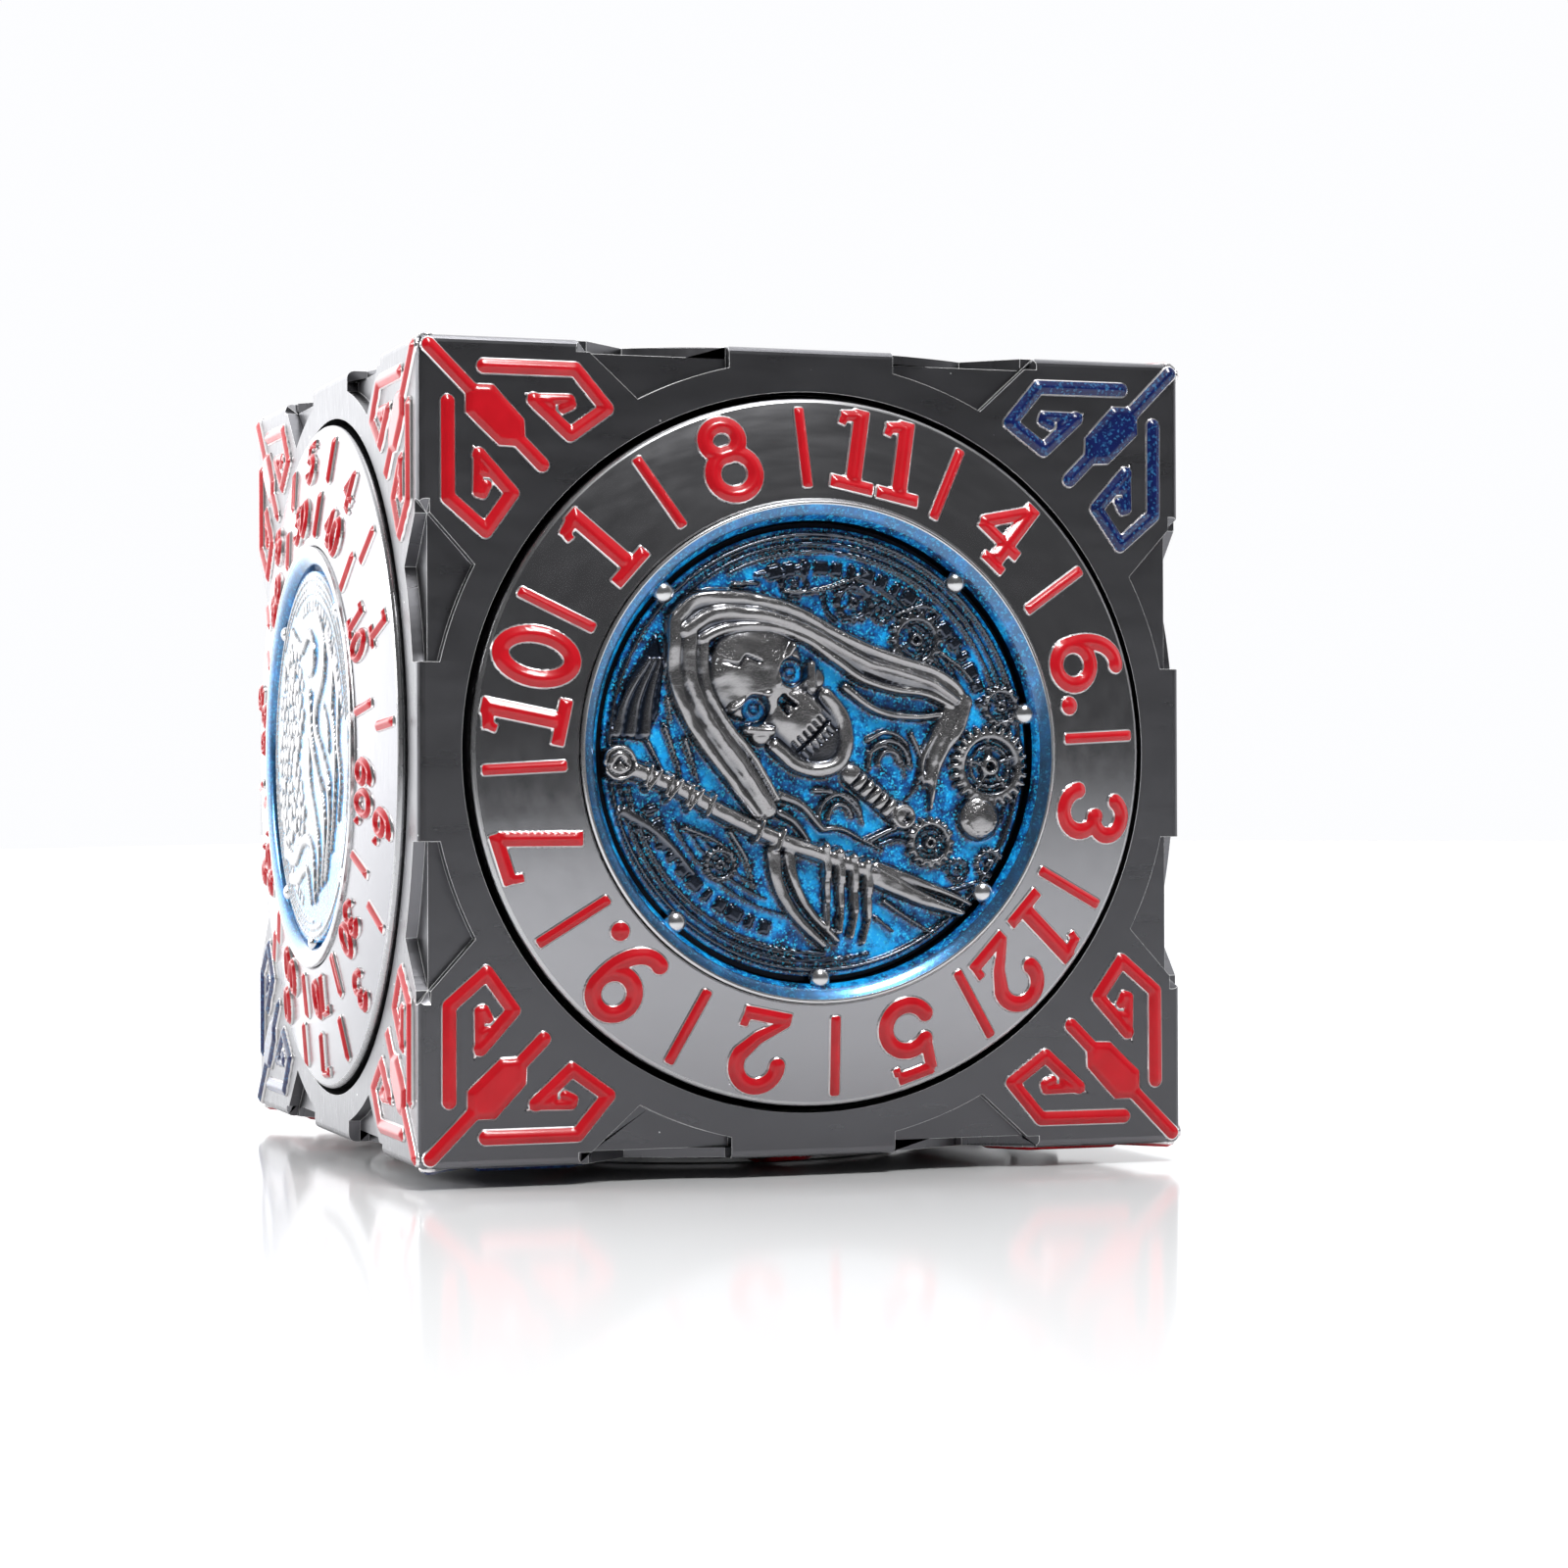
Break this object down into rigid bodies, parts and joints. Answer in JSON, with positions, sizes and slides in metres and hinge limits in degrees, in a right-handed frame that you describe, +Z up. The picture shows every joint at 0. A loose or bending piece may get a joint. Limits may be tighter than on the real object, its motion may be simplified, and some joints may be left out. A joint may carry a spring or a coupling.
{
  "type": "fidget cube",
  "caption": "Die-cast metal fidget cube with a domed number dial spinning on a ball bearing in each face, for use as a desk toy and dice spinner.",
  "frame": {"origin": "on the plane the cube stands on, under its centre", "axes": "+Z up; -Y out of the front face, the one with the twelve-sector dial; -X out of the left face, the one with two rows of numbers"},
  "size_m": [0.0428, 0.0432, 0.042],
  "materials": {
    "frame_metal": "die-cast zinc with satin gunmetal plate, edges worn bright",
    "dial_metal": "die-cast zinc with polished gunmetal plate",
    "medallion_silver": "die-cast zinc with antique silver plate, darkened in the recesses",
    "enamel_red": "glossy red enamel on the raised numbers, bars and corner motifs",
    "enamel_blue": "translucent blue enamel with fine glitter",
    "bearing_steel": "ground and polished bearing steel",
    "cage_steel": "pressed steel cage with polished balls"
  },
  "bodies": {
    "frame": {"frame": "frame_metal", "outer_race_front": "bearing_steel", "outer_race_left": "bearing_steel", "outer_race_back": "bearing_steel", "outer_race_right": "bearing_steel", "outer_race_top": "bearing_steel", "outer_race_bottom": "bearing_steel"},
    "dial_front": {"dial_front": "dial_metal", "medallion_front": "medallion_silver", "inner_race_front": "bearing_steel"},
    "cage_front": {"ball_cage_front": "cage_steel"},
    "dial_left": {"dial_left": "dial_metal", "medallion_left": "medallion_silver", "inner_race_left": "bearing_steel"},
    "cage_left": {"ball_cage_left": "cage_steel"},
    "dial_back": {"dial_back": "dial_metal", "medallion_back": "medallion_silver", "inner_race_back": "bearing_steel"},
    "cage_back": {"ball_cage_back": "cage_steel"},
    "dial_right": {"dial_right": "dial_metal", "medallion_right": "medallion_silver", "inner_race_right": "bearing_steel"},
    "cage_right": {"ball_cage_right": "cage_steel"},
    "dial_top": {"dial_top": "dial_metal", "medallion_top": "medallion_silver", "inner_race_top": "bearing_steel"},
    "cage_top": {"ball_cage_top": "cage_steel"},
    "dial_bottom": {"dial_bottom": "dial_metal", "medallion_bottom": "medallion_silver", "inner_race_bottom": "bearing_steel"},
    "cage_bottom": {"ball_cage_bottom": "cage_steel"}
  },
  "joints": [
    {"name": "dial_front_spin", "type": "hinge", "parent": "frame", "child": "dial_front", "pos_m": [0, -0.0216, 0.021], "axis": [0, -1, 0], "continuous": true},
    {"name": "cage_front_roll", "type": "hinge", "parent": "frame", "child": "cage_front", "pos_m": [0, -0.0216, 0.021], "axis": [0, -1, 0], "continuous": true},
    {"name": "dial_left_spin", "type": "hinge", "parent": "frame", "child": "dial_left", "pos_m": [-0.02135, 0, 0.021], "axis": [-1, 0, 0], "continuous": true},
    {"name": "cage_left_roll", "type": "hinge", "parent": "frame", "child": "cage_left", "pos_m": [-0.02135, 0, 0.021], "axis": [-1, 0, 0], "continuous": true},
    {"name": "dial_back_spin", "type": "hinge", "parent": "frame", "child": "dial_back", "pos_m": [0, 0.0216, 0.021], "axis": [0, 1, 0], "continuous": true},
    {"name": "cage_back_roll", "type": "hinge", "parent": "frame", "child": "cage_back", "pos_m": [0, 0.0216, 0.021], "axis": [0, 1, 0], "continuous": true},
    {"name": "dial_right_spin", "type": "hinge", "parent": "frame", "child": "dial_right", "pos_m": [0.02135, 0, 0.021], "axis": [1, 0, 0], "continuous": true},
    {"name": "cage_right_roll", "type": "hinge", "parent": "frame", "child": "cage_right", "pos_m": [0.02135, 0, 0.021], "axis": [1, 0, 0], "continuous": true},
    {"name": "dial_top_spin", "type": "hinge", "parent": "frame", "child": "dial_top", "pos_m": [0, 0, 0.042], "axis": [0, 0, 1], "continuous": true},
    {"name": "cage_top_roll", "type": "hinge", "parent": "frame", "child": "cage_top", "pos_m": [0, 0, 0.042], "axis": [0, 0, 1], "continuous": true},
    {"name": "dial_bottom_spin", "type": "hinge", "parent": "frame", "child": "dial_bottom", "pos_m": [0, 0, 0], "axis": [0, 0, -1], "continuous": true},
    {"name": "cage_bottom_roll", "type": "hinge", "parent": "frame", "child": "cage_bottom", "pos_m": [0, 0, 0], "axis": [0, 0, -1], "continuous": true}
  ],
  "couplings": [
    {"joint": "cage_front_roll", "follows": "dial_front_spin", "ratio": 0.4167},
    {"joint": "cage_left_roll", "follows": "dial_left_spin", "ratio": 0.4167},
    {"joint": "cage_back_roll", "follows": "dial_back_spin", "ratio": 0.4167},
    {"joint": "cage_right_roll", "follows": "dial_right_spin", "ratio": 0.4167},
    {"joint": "cage_top_roll", "follows": "dial_top_spin", "ratio": 0.4167},
    {"joint": "cage_bottom_roll", "follows": "dial_bottom_spin", "ratio": 0.4167}
  ]
}
